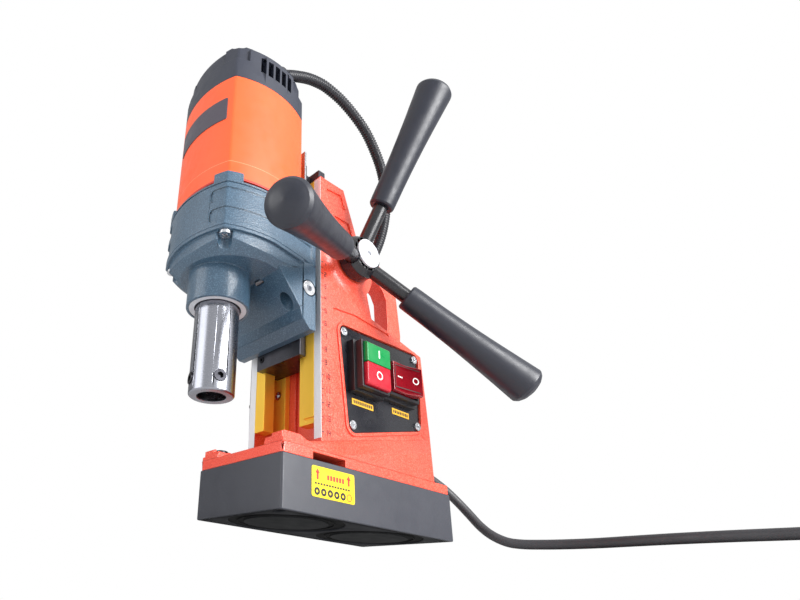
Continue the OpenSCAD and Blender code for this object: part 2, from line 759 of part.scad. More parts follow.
module gear_housing() {
    color(gear_blue) difference() {
        union() {
            gear_plan(0, seam_z, gear_top);
            sq_post(motor_a - 3.8, motor_y, gear_top - 0.1, motor_low + 6);
            along_x(-gear_back, gear_back) polygon([
                [rear_wall[1], 121.5], [-57, 121.5], [rear_wall[0], 127.5],
                [rear_wall[0], seam_z + 1], [rear_wall[1], seam_z + 1]
            ]);
            // corner tabs that hold the motor housing
            intersection() {
                gear_plan(0, gear_top - 1, tab_top);
                translate([0, 0, gear_top - 1]) linear_extrude(20) corner_mask(20);
            }
        }
        // room for the motor housing between the tabs
        difference() {
            sq_post(motor_a + 0.2, motor_y, motor_low - 0.2, 230);
            sq_post(motor_a - 3.8, motor_y, 200, motor_low + 6);
        }
        sq_post(motor_a - 7, motor_y, gear_top + 0.1, 230);
        // gear space, with posts left for the screws
        difference() {
            gear_plan(5, seam_z - 1, roof_z, -62);
            at_gear_screws(0, seam_z - 2, roof_z + 1, 4.4);
            at_gear_screws(1, seam_z - 2, 183, 4.6);
            both_sides() box([gear_screw_at[1][0], gear_screw_at[1][1] - 4.6, seam_z - 2], [41, -66.4, 183]);
        }
        // shaft seats
        bar([0, motor_y], roof_z - 1, 210, 13);
        bar([mid_x, mid_y], roof_z - 1, 204, 4.03);
        // screws and side screws
        for (k = [0, 1]) at_gear_screws(k, seam_z - 1, 182, 2);
        both_sides() bar_x(side_screw_at, 26, 50, 3.1);
        both_sides() bar_x(side_screw_at, 33.6, 50, 6.1);
        // sunk bands round the sides
        for (z = band_z) difference() {
            both_sides() translate([54, -56, z + 5.1]) rotate([90, 0, 0]) linear_extrude(94)
                rrect(60, 10.2, 2.8);
            gear_plan(1.1, 170, 210, rear_wall[1] + 2);
        }
        // line under the top edge
        difference() {
            gear_plan(-2, gear_top - 2.2, gear_top - 1.6, rear_wall[1] + 2);
            gear_plan(0.5, 200, 210, rear_wall[1] + 4);
        }
    }
}

module side_screws() {
    color(steel) both_sides() translate([gear_back - 0.3, side_screw_at[0], side_screw_at[1]])
        rotate([0, 90, 0]) socket_screw(5.4, 4.4, 3, 6, 2.6);
}

module gearbox_cover() {
    back = rear_wall[0] - 0.2;
    color(gear_blue) difference() {
        union() {
            // lip and bowl
            intersection() {
                union() {
                    gear_plan(0, lip_low, seam_z - 0.1);
                    intersection() {
                        gear_plan(2.2, cover_low, lip_low + 0.1);
                        translate([0, motor_y, cover_low])
                            cylinder(r1 = 37, r2 = 53, h = lip_low - cover_low + 0.2);
                    }
                }
                box([-60, -160, 100], [60, back, 200]);
            }
            bar([0, spindle_y], neck_low, cover_low + 1, 21.5);
            // ramp down to the rear wall
            along_x(-gear_back, gear_back) polygon([
                [back, 127.5], [-66.5, 135], [-86, cover_low + 1], [-80, lip_low + 1], [back, lip_low + 1]
            ]);
        }
        difference() {
            gear_plan(6.5, cover_low + 4, seam_z, -69);
            at_gear_screws(0, cover_low, seam_z + 1, 6.4);
            at_gear_screws(1, cover_low, seam_z + 1, 6.6);
        }
        bar([0, spindle_y], neck_low - 1, cover_low, 19.5);
        bar([0, spindle_y], neck_low - 1, 170, 16.5);
        bar([mid_x, mid_y], cover_low - 2, 170, 4.03);
        // corner pockets and screw holes
        for (sx = [-1, 1]) bar([sx * 37, -132], 150, lip_low, 8.6);
        for (k = [0, 1]) {
            at_gear_screws(k, 120, 180, 2.1);
            at_gear_screws(k, 120, lip_low, 4.5);
        }
    }
}

module gearbox_screws() {
    color(steel) for (sx = [-1, 1], p = gear_screw_at)
        translate([sx * p[0], p[1], screw_z]) rotate([180, 0, 0]) cross_screw(4.3, 2.6, 1.9, 11.5);
}

module spindle_bearings() {
    color(steel) for (z = [[136.5, 146], [148, 156.9]])
        ring([0, spindle_y], z[0], z[1], arbor_r + 0.05, 19.5);
}

module retaining_ring() {
    color("silver") ring([0, spindle_y], neck_low + 0.4, 136.2, arbor_r + 0.9, 19.5);
}

// ---------- Motor ----------

module motor_housing() {
    color(motor_orange) difference() {
        sq_post(motor_a, motor_y, motor_low, cap_low - 0.1);
        sq_post(motor_a - 3.5, motor_y, motor_low - 1, cap_low + 1);
    }
}

cap_screw_at = 25.5;

module motor_cap() {
    color(dark) difference() {
        union() {
            sq_post(motor_a, motor_y, cap_low, cap_step);
            sq_post(motor_a - 2.6, motor_y, cap_step - 0.1, cap_high);
            // flush panels round the vents
            intersection() {
                sq_post(motor_a, motor_y, cap_step - 0.1, cap_high - 1.5);
                both_sides() box([20, -119, 318], [60, -76.5, 340]);
            }
            // raised lugs on the corners
            intersection() {
                sq_post(motor_a - 2.6, motor_y, cap_high - 0.1, cap_high + 2.2);
                translate([0, 0, cap_high - 0.1]) linear_extrude(3) corner_mask(21);
            }
        }
        sq_post(motor_a - 5.6, motor_y, cap_low - 1, cap_high - 3.5);
        for (a = [45:90:315]) translate([0, motor_y, cap_high + 7]) rotate([0, 90, a]) cylinder(r = 7.2, h = 60);
        for (y = [-110 : 6.5 : -84]) both_sides() box([33, y, 317.6], [60, y + 4.4, 332.2]);
        for (sx = [-1, 1], sy = [-1, 1]) {
            bar([sx * cap_screw_at, motor_y + sy * cap_screw_at], 325, 350, 3.6);
            bar([sx * cap_screw_at, motor_y + sy * cap_screw_at], 309, 340, 1.9);
        }
        at_hose_top() {
            translate([0, 0, -4.1]) cylinder(r = 7.1, h = 14);
            translate([0, 0, -9]) cylinder(r = 4.1, h = 8);
        }
        bar([0, motor_y], 322, 332, 8);
    }
    // posts under the corner screws and the upper bearing's seat
    color(dark) {
        ring([0, motor_y], 318, cap_high - 3.4, 8, 11);
        for (sx = [-1, 1], sy = [-1, 1]) {
            ring([sx * cap_screw_at, motor_y + sy * cap_screw_at], 310, 325, 1.9, 5.2);
            ring([sx * cap_screw_at, motor_y + sy * cap_screw_at], 324.9, cap_high - 3.4, 3.6, 5.2);
        }
    }
}

module cap_screws() {
    color(steel) for (sx = [-1, 1], sy = [-1, 1])
        translate([sx * cap_screw_at, motor_y + sy * cap_screw_at, 327.4]) cross_screw(3.4, 2.2, 1.8, 14);
}

module motor_badge() {
    color(black) intersection() {
        difference() {
            sq_post(motor_a + 0.5, motor_y, 260, 292);
            sq_post(motor_a, motor_y, 259, 293);
        }
        translate([1, -136, 276]) rotate([90, 0, 0]) linear_extrude(30, center = true) rrect(55, 20, 1);
    }
}

module stator() {
    color(steel) {
        difference() {
            bar([0, motor_y], 230, 284, 35);
            bar([0, motor_y], 229, 285, 23.2);
        }
    }
    color("peru") for (s = [-1, 1]) {
        intersection() {
            ring([0, motor_y], 284.1, 290, 24, 34);
            translate([-40, s > 0 ? motor_y + 6 : motor_y - 46, 280]) cube([80, 40, 20]);
        }
    }
}

module brushes() {
    color(black) for (s = [-1, 1]) difference() {
        bar_y([0, 299], s > 0 ? motor_y + 12.4 : motor_y - 33, s > 0 ? motor_y + 33 : motor_y - 12.4, 4.5);
        bar_y([0, 299], s > 0 ? motor_y + 26 : motor_y - 34, s > 0 ? motor_y + 34 : motor_y - 26, 2.5);
    }
}

module motor_bearings() {
    color(steel) {
        ring([0, motor_y], roof_z, 206, 5.03, 13);
        ring([0, motor_y], 323, 331, 4.03, 8);
    }
}

module armature() {
    toward_mid = atan2(mid_back, mid_x);
    color(steel) {
        translate([0, motor_y, 182.5]) rotate(toward_mid) gear(1, z_motor, 11.5);
        bar([0, motor_y], 193.9, 226, 5);
        bar([0, motor_y], 225.9, 312, 6);
        bar([0, motor_y], 311.9, 331.5, 4);
    }
    color("peru") {
        bar([0, motor_y], 232, 282, 22.5);
        bar([0, motor_y], 291, 308, 12);
    }
}

module fan() {
    color(black) translate([0, motor_y, 218]) {
        difference() {
            union() {
                cylinder(r = 28, h = 1.6);
                cylinder(r = 9, h = 7.5);
                for (k = [0:8]) rotate(40 * k) translate([8, -0.8, 1.5]) cube([19, 1.6, 6]);
            }
            translate([0, 0, -1]) cylinder(r = 5, h = 12);
        }
    }
}

module intermediate_gear() {
    to_motor = atan2(motor_y - mid_y, -mid_x);
    to_spindle = atan2(spindle_y - mid_y, -mid_x);
    color(steel) {
        bar([mid_x, mid_y], cover_low - 1.5, 203.5, 4);
        translate([mid_x, mid_y, 162.4]) rotate(to_spindle) gear(1, z_mid_small, 14);
        translate([mid_x, mid_y, 184]) rotate(to_motor + 180 / z_mid_big) gear(1, z_mid_big, 8.5);
        bar([mid_x, mid_y], 176.3, 184.1, 6);
    }
}

// ---------- Spindle ----------

module arbor() {
    color(steel) translate([0, spindle_y, 0]) difference() {
        rotate_extrude() polygon([
            [0, arbor_low], [arbor_r - 1, arbor_low], [arbor_r, arbor_low + 1], [arbor_r, 158.4],
            [10, 158.4], [10, 178.5], [9, 179.5], [0, 179.5]
        ]);
        translate([0, 0, arbor_low - 1]) cylinder(r = arbor_bore_r, h = 39);
        translate([0, 0, arbor_low + 37]) cylinder(r = 3.2, h = 60);
        for (a = grub_angles) rotate(a) translate([0, 0, grub_z]) rotate([0, 90, 0]) {
            cylinder(r = 2.6, h = 20);
            translate([0, 0, 11.5]) cylinder(r = 4, h = 10);
        }
    }
}

grub_angles = [254, 344];
grub_z = arbor_low + 10;

module grub_screws() {
    color(black) for (a = grub_angles) translate([0, spindle_y, grub_z]) rotate(a) rotate([0, 90, 0]) difference() {
        union() {
            translate([0, 0, 10]) cylinder(r = 2.6, h = 1.6);
            translate([0, 0, 11.5]) cylinder(r = 4, h = 3.9);
        }
        translate([0, 0, 12.9]) cylinder(r = 2.2, h = 4, $fn = 6);
    }
}

module spindle_gear() {
    from_mid = atan2(mid_y - spindle_y, mid_x);
    color(steel) translate([0, spindle_y, 162.8]) difference() {
        rotate(from_mid + 180 / z_spindle) gear(1, z_spindle, 12);
        translate([0, 0, -1]) cylinder(r = 10, h = 20);
    }
}

// ---------- Feed handle ----------

module pinion_shaft() {
    color(steel) {
        translate([-9, feed_y, feed_z_pos]) rotate([0, 90, 0]) rotate(-90)
            gear(feed_m, feed_z, 18, 0.14);
        bar_x([feed_y, feed_z_pos], -20, -8.9, 6);
        bar_x([feed_y, feed_z_pos], 8.9, hub_x[1] - 3, 8);
    }
}

// Places its children along one spoke: +Z runs outwards from the hub's axis.
module on_spoke(a) {
    translate([spoke_x, feed_y, feed_z_pos]) rotate([a, 0, 0]) rotate([0, 0, -spoke_tilt]) rotate([-90, 0, 0])
        children();
}

module hub() {
    color(black) difference() {
        translate([0, feed_y, feed_z_pos]) rotate([0, 90, 0]) rotate_extrude() polygon([
            [8, hub_x[0]], [hub_r - 0.6, hub_x[0]], [hub_r, hub_x[0] + 1.5], [hub_r, hub_x[1] - 5],
            [hub_r - 3.4, hub_x[1]], [0, hub_x[1]], [0, hub_x[1] - 3], [8, hub_x[1] - 3]
        ]);
        for (a = spoke_angles) on_spoke(a) translate([0, 0, 9.6]) cylinder(r = spoke_r, h = 30);
    }
}

module hub_cap() {
    color("silver") difference() {
        bar_x([feed_y, feed_z_pos], hub_x[1], hub_x[1] + 1.8, 11.2);
        bar_x([feed_y, feed_z_pos], hub_x[1] + 0.4, hub_x[1] + 4, 2);
        for (a = spoke_angles) on_spoke(a) translate([0, 0, 9.4]) cylinder(r = spoke_r + 0.15, h = 30);
    }
}

module spokes() {
    color(black) for (a = spoke_angles) on_spoke(a) translate([0, 0, 9.6]) cylinder(r = spoke_r, h = grip_s + 25.4);
}

module grips() {
    w = grip_l;
    color(dark) for (a = spoke_angles) on_spoke(a) translate([0, 0, grip_s]) difference() {
        rotate_extrude() polygon(concat(
            [[0, 0], [8.4, 0], [9.4, 1.2], [9.6, 6]],
            [for (k = [0:8]) let (t = k / 8) [9.6 + 4.2 * (1 - cos(90 * t)), 8 + (w - 18) * t]],
            [for (b = [10:20:70]) [13.9 * cos(b) + 0.05, w - 10 + 7 * sin(b)]],
            [[0, w - 2.6]]
        ));
        translate([0, 0, -1]) cylinder(r = spoke_r, h = 36);
    }
}

// ---------- One line per node ----------

magnet_housing();
magnet_cores();
magnet_coils();
magnet_potting();
magnet_bolts();
column_casting();
front_gibs();
rear_gibs();
gib_screws();
gib_clamp_screws();
control_plate();
plate_screws();
drill_switch_body();
magnet_switch_body();
on_button();
off_button();
magnet_rocker();
control_board();
board_screws();
base_label();
switch_labels();
shaft_bush();
cord_gland();
power_cord();
cord_coil();
plug();
hose();
hose_lower_gland();
hose_upper_gland();
slide();
rack();
rack_screws();
slide_set_screw();
back_plate();
gear_housing();
side_screws();
gearbox_cover();
gearbox_screws();
motor_housing();
motor_cap();
cap_screws();
motor_badge();
stator();
brushes();
motor_bearings();
spindle_bearings();
retaining_ring();
arbor();
grub_screws();
spindle_gear();
armature();
fan();
intermediate_gear();
pinion_shaft();
hub();
hub_cap();
spokes();
grips();
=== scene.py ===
import math

import bpy
from mathutils import Matrix, Vector


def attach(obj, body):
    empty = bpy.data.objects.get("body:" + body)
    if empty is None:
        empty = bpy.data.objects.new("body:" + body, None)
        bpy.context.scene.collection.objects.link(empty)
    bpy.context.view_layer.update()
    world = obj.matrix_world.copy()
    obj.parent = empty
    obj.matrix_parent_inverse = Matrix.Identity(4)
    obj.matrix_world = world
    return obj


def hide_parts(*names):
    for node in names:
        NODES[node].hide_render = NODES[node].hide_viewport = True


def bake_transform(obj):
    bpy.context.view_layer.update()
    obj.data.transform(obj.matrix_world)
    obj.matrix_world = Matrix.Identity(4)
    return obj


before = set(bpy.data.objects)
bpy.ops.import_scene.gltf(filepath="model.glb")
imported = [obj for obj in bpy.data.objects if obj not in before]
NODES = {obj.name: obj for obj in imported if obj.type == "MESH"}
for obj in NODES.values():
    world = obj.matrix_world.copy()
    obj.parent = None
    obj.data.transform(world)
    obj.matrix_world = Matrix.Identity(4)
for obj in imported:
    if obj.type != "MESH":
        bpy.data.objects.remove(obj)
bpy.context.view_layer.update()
MM = 0.001


def rgb(r, g, b):
    """Linear colour of a display colour given as 0 to 255."""
    return tuple(((c / 255 + 0.055) / 1.055) ** 2.4 if c > 10 else c / 3294.6 for c in (r, g, b)) + (1.0,)


# ---------- Camera ----------
# It stands at the front right, a little below the floor's level, and looks up.
CAMERA_AT = (0.2893, -0.3042, -0.0543)
AZIMUTH, RISE, ROLL = math.radians(53.873), math.radians(23.005), math.radians(3.549)
ahead = Vector((-math.sin(AZIMUTH) * math.cos(RISE), math.cos(AZIMUTH) * math.cos(RISE), math.sin(RISE)))
level = Vector((math.cos(AZIMUTH), math.sin(AZIMUTH), 0))
upward = level.cross(ahead)
cam_right = level * math.cos(ROLL) + upward * math.sin(ROLL)
cam_up = upward * math.cos(ROLL) - level * math.sin(ROLL)
camera = bpy.data.objects.new("camera", bpy.data.cameras.new("camera"))
camera.data.sensor_width = 36
camera.data.lens = 26.28
camera.data.shift_x, camera.data.shift_y = 0.21205, 0.0786
camera.data.clip_start, camera.data.clip_end = 0.01, 20
camera.matrix_world = Matrix((
    (cam_right.x, cam_up.x, -ahead.x, CAMERA_AT[0]),
    (cam_right.y, cam_up.y, -ahead.y, CAMERA_AT[1]),
    (cam_right.z, cam_up.z, -ahead.z, CAMERA_AT[2]),
    (0, 0, 0, 1),
))
bpy.context.scene.collection.objects.link(camera)
bpy.context.scene.camera = camera


# ---------- Materials ----------
class Shade:
    """A Principled material, with what its surface texture is made of."""

    def __init__(self, name, colour, rough, metal=0.0, coat=0.0, specular=0.5):
        self.m = bpy.data.materials.new(name)
        self.m.use_nodes = True
        self.t = self.m.node_tree
        self.b = self.t.nodes["Principled BSDF"]
        self.b.inputs["Base Color"].default_value = colour
        self.b.inputs["Roughness"].default_value = rough
        self.b.inputs["Metallic"].default_value = metal
        self.b.inputs["Coat Weight"].default_value = coat
        self.b.inputs["Coat Roughness"].default_value = 0.15
        self.b.inputs["Specular IOR Level"].default_value = specular
        self.rough, self.colour, self.height = rough, colour, None
        self.place = self.new("ShaderNodeTexCoord").outputs["Object"]

    def new(self, kind, **values):
        n = self.t.nodes.new(kind)
        for k, v in values.items():
            if k in n.inputs:
                n.inputs[k].default_value = v
            else:
                setattr(n, k, v)
        return n

    def link(self, a, b):
        self.t.links.new(a, b)

    def texture(self, kind, scale, stretch=(1, 1, 1), detail=3.0):
        spread = self.new("ShaderNodeVectorMath", operation="MULTIPLY")
        self.link(self.place, spread.inputs[0])
        spread.inputs[1].default_value = stretch
        if kind == "cells":
            n = self.new("ShaderNodeTexVoronoi", feature="SMOOTH_F1", Scale=scale, Smoothness=0.6)
            out = n.outputs["Distance"]
        else:
            n = self.new("ShaderNodeTexNoise", Scale=scale, Detail=detail, Roughness=0.55)
            out = n.outputs["Fac"]
        self.link(spread.outputs[0], n.inputs["Vector"])
        return out

    def ranged(self, value, lo, hi, a=0.3, b=0.7):
        n = self.new("ShaderNodeMapRange")
        self.link(value, n.inputs["Value"])
        for k, v in (("From Min", a), ("From Max", b), ("To Min", lo), ("To Max", hi)):
            n.inputs[k].default_value = v
        return n.outputs["Result"]

    def mottle(self, scale, amount, detail=3.0):
        """The colour grows lighter and darker in patches."""
        level = self.ranged(self.texture("noise", scale, detail=detail), 1 - amount, 1 + amount)
        n = self.new("ShaderNodeMix", data_type="RGBA", blend_type="MULTIPLY")
        n.inputs["Factor"].default_value = 1
        for s in n.inputs:
            if s.name == "A" and s.type == "RGBA":
                s.default_value = self.colour
            if s.name == "B" and s.type == "RGBA":
                self.link(level, s)
        out = [s for s in n.outputs if s.type == "RGBA"][0]
        self.link(out, self.b.inputs["Base Color"])
        self.tint = out
        return self

    def smears(self, scale, amount, stretch=(1, 1, 1)):
        """The roughness varies, as handling and machining leave it."""
        lo, hi = max(self.rough - amount, 0.03), min(self.rough + amount, 1)
        self.link(self.ranged(self.texture("noise", scale, stretch), lo, hi), self.b.inputs["Roughness"])
        return self

    def relief(self, kind, scale, depth, stretch=(1, 1, 1), detail=3.0):
        """Fine relief, depth in metres."""
        n = self.new("ShaderNodeBump", Strength=1.0, Distance=depth)
        self.link(self.texture(kind, scale, stretch, detail), n.inputs["Height"])
        if self.height:
            self.link(self.height, n.inputs["Normal"])
        self.height = n.outputs["Normal"]
        self.link(self.height, self.b.inputs["Normal"])
        return self

    def inside(self, lo, hi):
        """1 within a box of millimetre corners, 0 outside it."""
        centre = [(a + b) / 2 * MM for a, b in zip(lo, hi)]
        half = [(b - a) / 2 * MM for a, b in zip(lo, hi)]
        out = self.place
        for kind, value in (("SUBTRACT", centre), ("ABSOLUTE", None), ("SUBTRACT", half)):
            n = self.new("ShaderNodeVectorMath", operation=kind)
            self.link(out, n.inputs[0])
            if value:
                n.inputs[1].default_value = value
            out = n.outputs[0]
        parts = self.new("ShaderNodeSeparateXYZ")
        self.link(out, parts.inputs[0])
        worst = parts.outputs[0]
        for other in (parts.outputs[1], parts.outputs[2]):
            worst = self.math("MAXIMUM", worst, other)
        return self.math("LESS_THAN", worst, 0.0)

    def math(self, kind, a, b):
        n = self.new("ShaderNodeMath", operation=kind)
        for value, socket in ((a, n.inputs[0]), (b, n.inputs[1])):
            if isinstance(value, float):
                socket.default_value = value
            else:
                self.link(value, socket)
        return n.outputs[0]

    def patch(self, mask, colour, rough=None, metal=None):
        """Where the mask is 1 the surface has another colour, roughness and metalness."""
        n = self.new("ShaderNodeMix", data_type="RGBA")
        a, b = [x for x in n.inputs if x.type == "RGBA"]
        self.link(mask, n.inputs["Factor"])
        self.link(self.tint, a)
        b.default_value = colour
        self.tint = [x for x in n.outputs if x.type == "RGBA"][0]
        self.link(self.tint, self.b.inputs["Base Color"])
        for name, value in (("Roughness", rough), ("Metallic", metal)):
            if value is None:
                continue
            socket = self.b.inputs[name]
            mix = self.new("ShaderNodeMix", data_type="FLOAT")
            a, b = [x for x in mix.inputs if x.type == "VALUE" and x.name in "AB"]
            self.link(mask, mix.inputs["Factor"])
            if socket.links:
                self.link(socket.links[0].from_socket, a)
            else:
                a.default_value = socket.default_value
            b.default_value = value
            self.link([x for x in mix.outputs if x.type == "VALUE"][0], socket)
        return self

    def speckle(self, colour, scale, share):
        """Small flecks of a second colour."""
        mask = self.ranged(self.texture("noise", scale, detail=1.0), 0, 1, share - 0.06, share + 0.06)
        return self.patch(mask, colour)


def paint(name, colour, rough=0.4, grain=0.00006, coat=0.0):
    return Shade(name, colour, rough, coat=coat).mottle(25, 0.05).smears(70, 0.08).relief("noise", 900, grain)


def plastic(name, colour, rough=0.5, grain=0.00005):
    return Shade(name, colour, rough).mottle(40, 0.04).smears(120, 0.08).relief("noise", 2200, grain)


def metal(name, colour, rough=0.3, stretch=(1, 1, 1), grain=0.00002):
    return Shade(name, colour, rough, metal=1.0).mottle(60, 0.07).smears(300, 0.1, stretch).relief(
        "noise", 1500, grain, stretch)


M = {
    "magnet": paint("magnet_paint_look", rgb(54, 56, 64), 0.45, 0.00003),
    "pole": paint("pole_steel_look", rgb(52, 54, 57), 0.5, 0.00003),
    "potting": plastic("potting_look", rgb(20, 21, 24), 0.6, 0.00006),
    "copper": metal("copper_look", rgb(190, 110, 70), 0.35, (1, 1, 20)),
    # The casting's light flecks are partly the hammertone paint's own tone and partly painted glints of light
    # off its dimples.
    "casting": Shade("casting_paint_look", rgb(222, 62, 38), 0.36, coat=0.3).mottle(30, 0.06).speckle(
        rgb(240, 104, 82), 1500, 0.56).smears(90, 0.08).relief("cells", 900, 0.00014).relief(
        "noise", 2200, 0.00004),
    "brass": Shade("brass_look", rgb(255, 206, 72), 0.32, metal=0.45).mottle(60, 0.03).smears(
        300, 0.04, (1, 1, 0.06)).relief("noise", 1500, 0.000008, (1, 1, 0.06)),
    "bright": metal("bright_steel_look", rgb(206, 208, 212), 0.24, (1, 1, 1), 0.000008),
    "turned": Shade("turned_steel_look", rgb(150, 152, 160), 0.26, metal=1.0).mottle(60, 0.03).smears(
        300, 0.02, (1, 1, 9)).relief("noise", 1500, 0.0000015, (1, 1, 9)),
    "blacked": metal("black_screws_look", rgb(48, 48, 52), 0.36, (1, 1, 1), 0.00001),
    "plate": Shade("plate_paint_look", rgb(20, 21, 28), 0.26, coat=0.2).mottle(25, 0.04).smears(
        70, 0.05).relief("noise", 600, 0.00001),
    "switch": plastic("switch_black_look", rgb(21, 21, 26), 0.36, 0.00002),
    "green": plastic("green_plastic_look", rgb(0, 126, 62), 0.3, 0.00002),
    "red": plastic("red_plastic_look", rgb(172, 18, 38), 0.3, 0.00002),
    "board": plastic("board_look", rgb(30, 92, 56), 0.5),
    "label": plastic("label_yellow_look", rgb(222, 194, 28), 0.35, 0.00001),
    "tag": plastic("label_amber_look", rgb(222, 168, 40), 0.35, 0.00001),
    "rubber": plastic("cord_rubber_look", rgb(50, 50, 54), 0.5, 0.00005),
    "hose": plastic("hose_plastic_look", rgb(26, 27, 34), 0.32, 0.00002),
    "slide": metal("slide_steel_look", rgb(84, 84, 90), 0.36, (1, 1, 0.05), 0.000012),
    "steel": metal("machined_steel_look", rgb(176, 178, 182), 0.3, (1, 1, 6), 0.000005),
    # The gearbox's light flecks are partly the hammertone paint's own tone and partly painted glints of light
    # off its dimples.
    "gearbox": Shade("gearbox_paint_look", rgb(54, 78, 98), 0.36, coat=0.25).mottle(30, 0.06).speckle(
        rgb(78, 104, 124), 1400, 0.57).smears(90, 0.08).relief("cells", 900, 0.00014).relief(
        "noise", 2200, 0.00004),
    "orange": plastic("motor_orange_look", rgb(244, 88, 36), 0.4, 0.00003),
    "cap": plastic("cap_plastic_look", rgb(38, 42, 55), 0.45, 0.00003),
    "badge": plastic("badge_look", rgb(64, 58, 70), 0.4, 0.00002),
    "lamination": metal("lamination_look", rgb(110, 112, 116), 0.5, (1, 1, 30), 0.00005),
    "handle": Shade("handle_black_look", rgb(18, 18, 24), 0.3, coat=0.12).mottle(60, 0.05).smears(
        200, 0.08).relief("noise", 1500, 0.000008),
    "grip": plastic("grip_plastic_look", rgb(27, 30, 41), 0.4, 0.00003),
    "satin": plastic("satin_white_look", rgb(196, 198, 204), 0.32, 0.00001),
    "mark": plastic("mark_ink_look", rgb(228, 226, 222), 0.5, 0.00001),
    "ink": plastic("dark_ink_look", rgb(22, 19, 22), 0.5, 0.00001),
    "alarm": plastic("label_red_look", rgb(214, 54, 40), 0.4, 0.00001),
}
# The machined faces beside the guide channel.
M["casting"].patch(
    M["casting"].inside((-37.3, -46, 50), (37.3, -45.2, 257)), rgb(226, 228, 232), rough=0.3, metal=0.15)
# Painted shade: the gearbox's spigot in the gap under the motor, inside the gearbox's rim, is painted
# near-black where shade falls.
for lo, hi in (((-37.9, -121, 208.4), (37.9, -69, 226)), ((-26, -132.9, 208.4), (26, -57.1, 226))):
    M["gearbox"].patch(M["gearbox"].inside(lo, hi), rgb(14, 14, 17), rough=0.6)
# Painted shade: the motor housing's lower edge is painted darker.
M["orange"].patch(M["orange"].inside((-60, -150, 211), (60, -40, 213.6)), rgb(190, 36, 14))
# Painted highlight: a light line is painted along the motor housing's seam.
M["orange"].patch(M["orange"].inside((-60, -150, 226.2), (60, -40, 226.5)), rgb(255, 150, 110))

clear_red = Shade("clear_red_look", rgb(132, 10, 26), 0.12, coat=0.4).mottle(60, 0.05).relief(
    "noise", 300, 0.00003)
clear_red.b.inputs["Transmission Weight"].default_value = 0.3
# Painted glow: a faint red emission makes the rocker brighter than its light makes it.
clear_red.b.inputs["Emission Color"].default_value = rgb(200, 20, 40)
clear_red.b.inputs["Emission Strength"].default_value = 0.05
M["lens"] = clear_red

LOOKS = {
    "magnet": "magnet_housing", "pole": "magnet_cores", "copper": "magnet_coils",
    "potting": "magnet_potting", "blacked": "magnet_bolts grub_screws slide_set_screw gib_screws",
    "casting": "column_casting", "brass": "front_gibs rear_gibs shaft_bush brushes",
    "bright": "gib_clamp_screws plate_screws gearbox_screws side_screws cap_screws board_screws rack_screws",
    "plate": "control_plate", "satin": "hub_cap retaining_ring", "turned": "arbor",
    "switch": "drill_switch_body magnet_switch_body cord_gland",
    "green": "on_button", "red": "off_button", "lens": "magnet_rocker", "board": "control_board",
    "label": "base_label", "tag": "switch_labels", "rubber": "power_cord cord_coil plug",
    "hose": "hose hose_lower_gland hose_upper_gland", "slide": "slide rack",
    "gearbox": "gear_housing gearbox_cover", "orange": "motor_housing", "cap": "motor_cap fan",
    "badge": "motor_badge", "lamination": "stator armature",
    "steel": "motor_bearings spindle_bearings spindle_gear intermediate_gear pinion_shaft back_plate",
    "handle": "hub spokes", "grip": "grips",
}
for look, names in LOOKS.items():
    for name in names.split():
        mesh = NODES[name].data
        mesh.materials.clear()
        mesh.materials.append(M[look].m)

# ---------- Edges ----------
EDGES = {  # rounding width of each node's edges, in millimetres
    "magnet_housing": 0.7, "column_casting": 0.4, "control_plate": 0.4, "drill_switch_body": 0.5,
    "magnet_switch_body": 0.5, "on_button": 0.7, "off_button": 0.7, "magnet_rocker": 0.7,
    "front_gibs": 0.25, "rear_gibs": 0.25, "slide": 0.4, "back_plate": 0.3, "gear_housing": 0.6,
    "gearbox_cover": 0.5, "motor_housing": 0.5, "motor_cap": 0.35, "hub": 0.5, "hub_cap": 0.4,
    "spokes": 0.3, "grips": 0.4, "arbor": 0.4, "plug": 0.6, "cord_gland": 0.4,
    "hose_lower_gland": 0.3, "hose_upper_gland": 0.3, "plate_screws": 0.15, "gearbox_screws": 0.2,
    "cap_screws": 0.15, "magnet_bolts": 0.25, "motor_badge": 0.15, "base_label": 0.05,
}
FLAT = {"control_plate", "gearbox_cover"}  # joined faces round small edges there before the edges are rounded
for name, width in EDGES.items():
    node = NODES[name]
    custom = node.data.attributes.get("custom_normal")
    if custom:
        node.data.attributes.remove(custom)
    node.data.polygons.foreach_set("use_smooth", [True] * len(node.data.polygons))
    weld = node.modifiers.new("weld", "WELD")
    weld.merge_threshold = 2e-6
    if name in FLAT:
        flat = node.modifiers.new("flat", "DECIMATE")
        flat.decimate_type, flat.angle_limit = "DISSOLVE", math.radians(0.8)
    bevel = node.modifiers.new("edges", "BEVEL")
    bevel.width, bevel.segments, bevel.limit_method = width * MM, 2, "ANGLE"
    bevel.angle_limit, bevel.use_clamp_overlap, bevel.harden_normals = math.radians(19), False, True
    bevel.miter_outer = "MITER_ARC"


# ---------- Stage ----------
def mesh_object(name, vertices, faces, look=None):
    mesh = bpy.data.meshes.new(name)
    mesh.from_pydata([tuple(v) for v in vertices], [], faces)
    mesh.update()
    obj = bpy.data.objects.new(name, mesh)
    bpy.context.scene.collection.objects.link(obj)
    if look:
        mesh.materials.append(M[look].m)
    return obj


